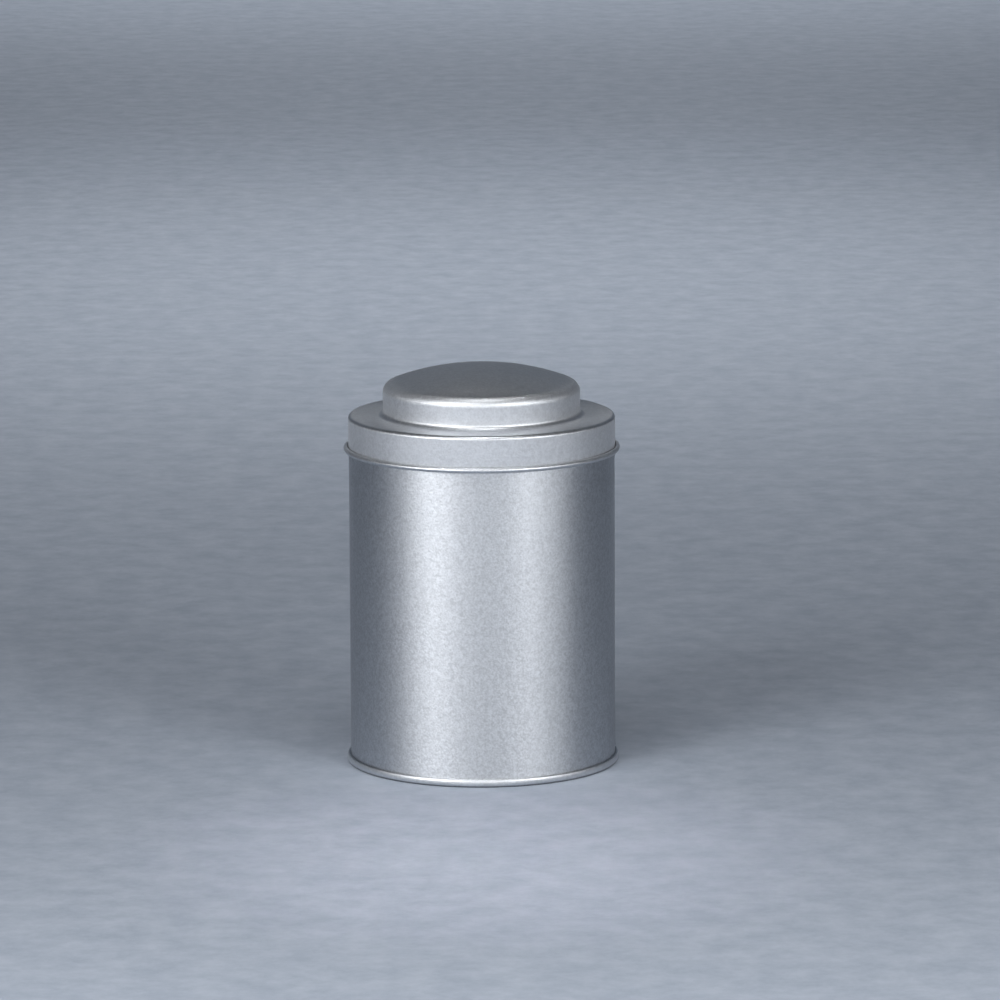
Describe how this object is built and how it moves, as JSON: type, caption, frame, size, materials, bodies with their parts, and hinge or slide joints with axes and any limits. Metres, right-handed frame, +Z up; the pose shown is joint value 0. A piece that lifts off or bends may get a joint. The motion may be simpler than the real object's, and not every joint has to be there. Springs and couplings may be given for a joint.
{
  "type": "candle tin",
  "caption": "Round tinplate candle tin with a double-seamed base, a necked body and a domed slip-on lid that lifts off; free standing.",
  "frame": {"origin": "centre of the foot, on the surface that the tin stands on", "axes": "+Z up along the tin's axis; the body's side seam is at +Y, so the plain front faces -Y"},
  "size_m": [0.0758, 0.0758, 0.1103],
  "materials": {
    "body_tinplate": "satin stone-finish tinplate with a fine bright grain",
    "base_tinplate": "satin tinplate, brighter along the seamed edge",
    "seam_compound": "matt lining compound",
    "lid_tinplate": "satin tinplate, smoother over the drawn dome"
  },
  "bodies": {
    "tin": {"body_shell": "body_tinplate", "base_end": "base_tinplate", "base_seal_ring": "seam_compound"},
    "lid": {"lid_shell": "lid_tinplate"}
  },
  "joints": [
    {"name": "lid_lift", "type": "slide", "parent": "tin", "child": "lid", "axis": [0, 0, 1], "range_m": [0, 0.05]}
  ]
}
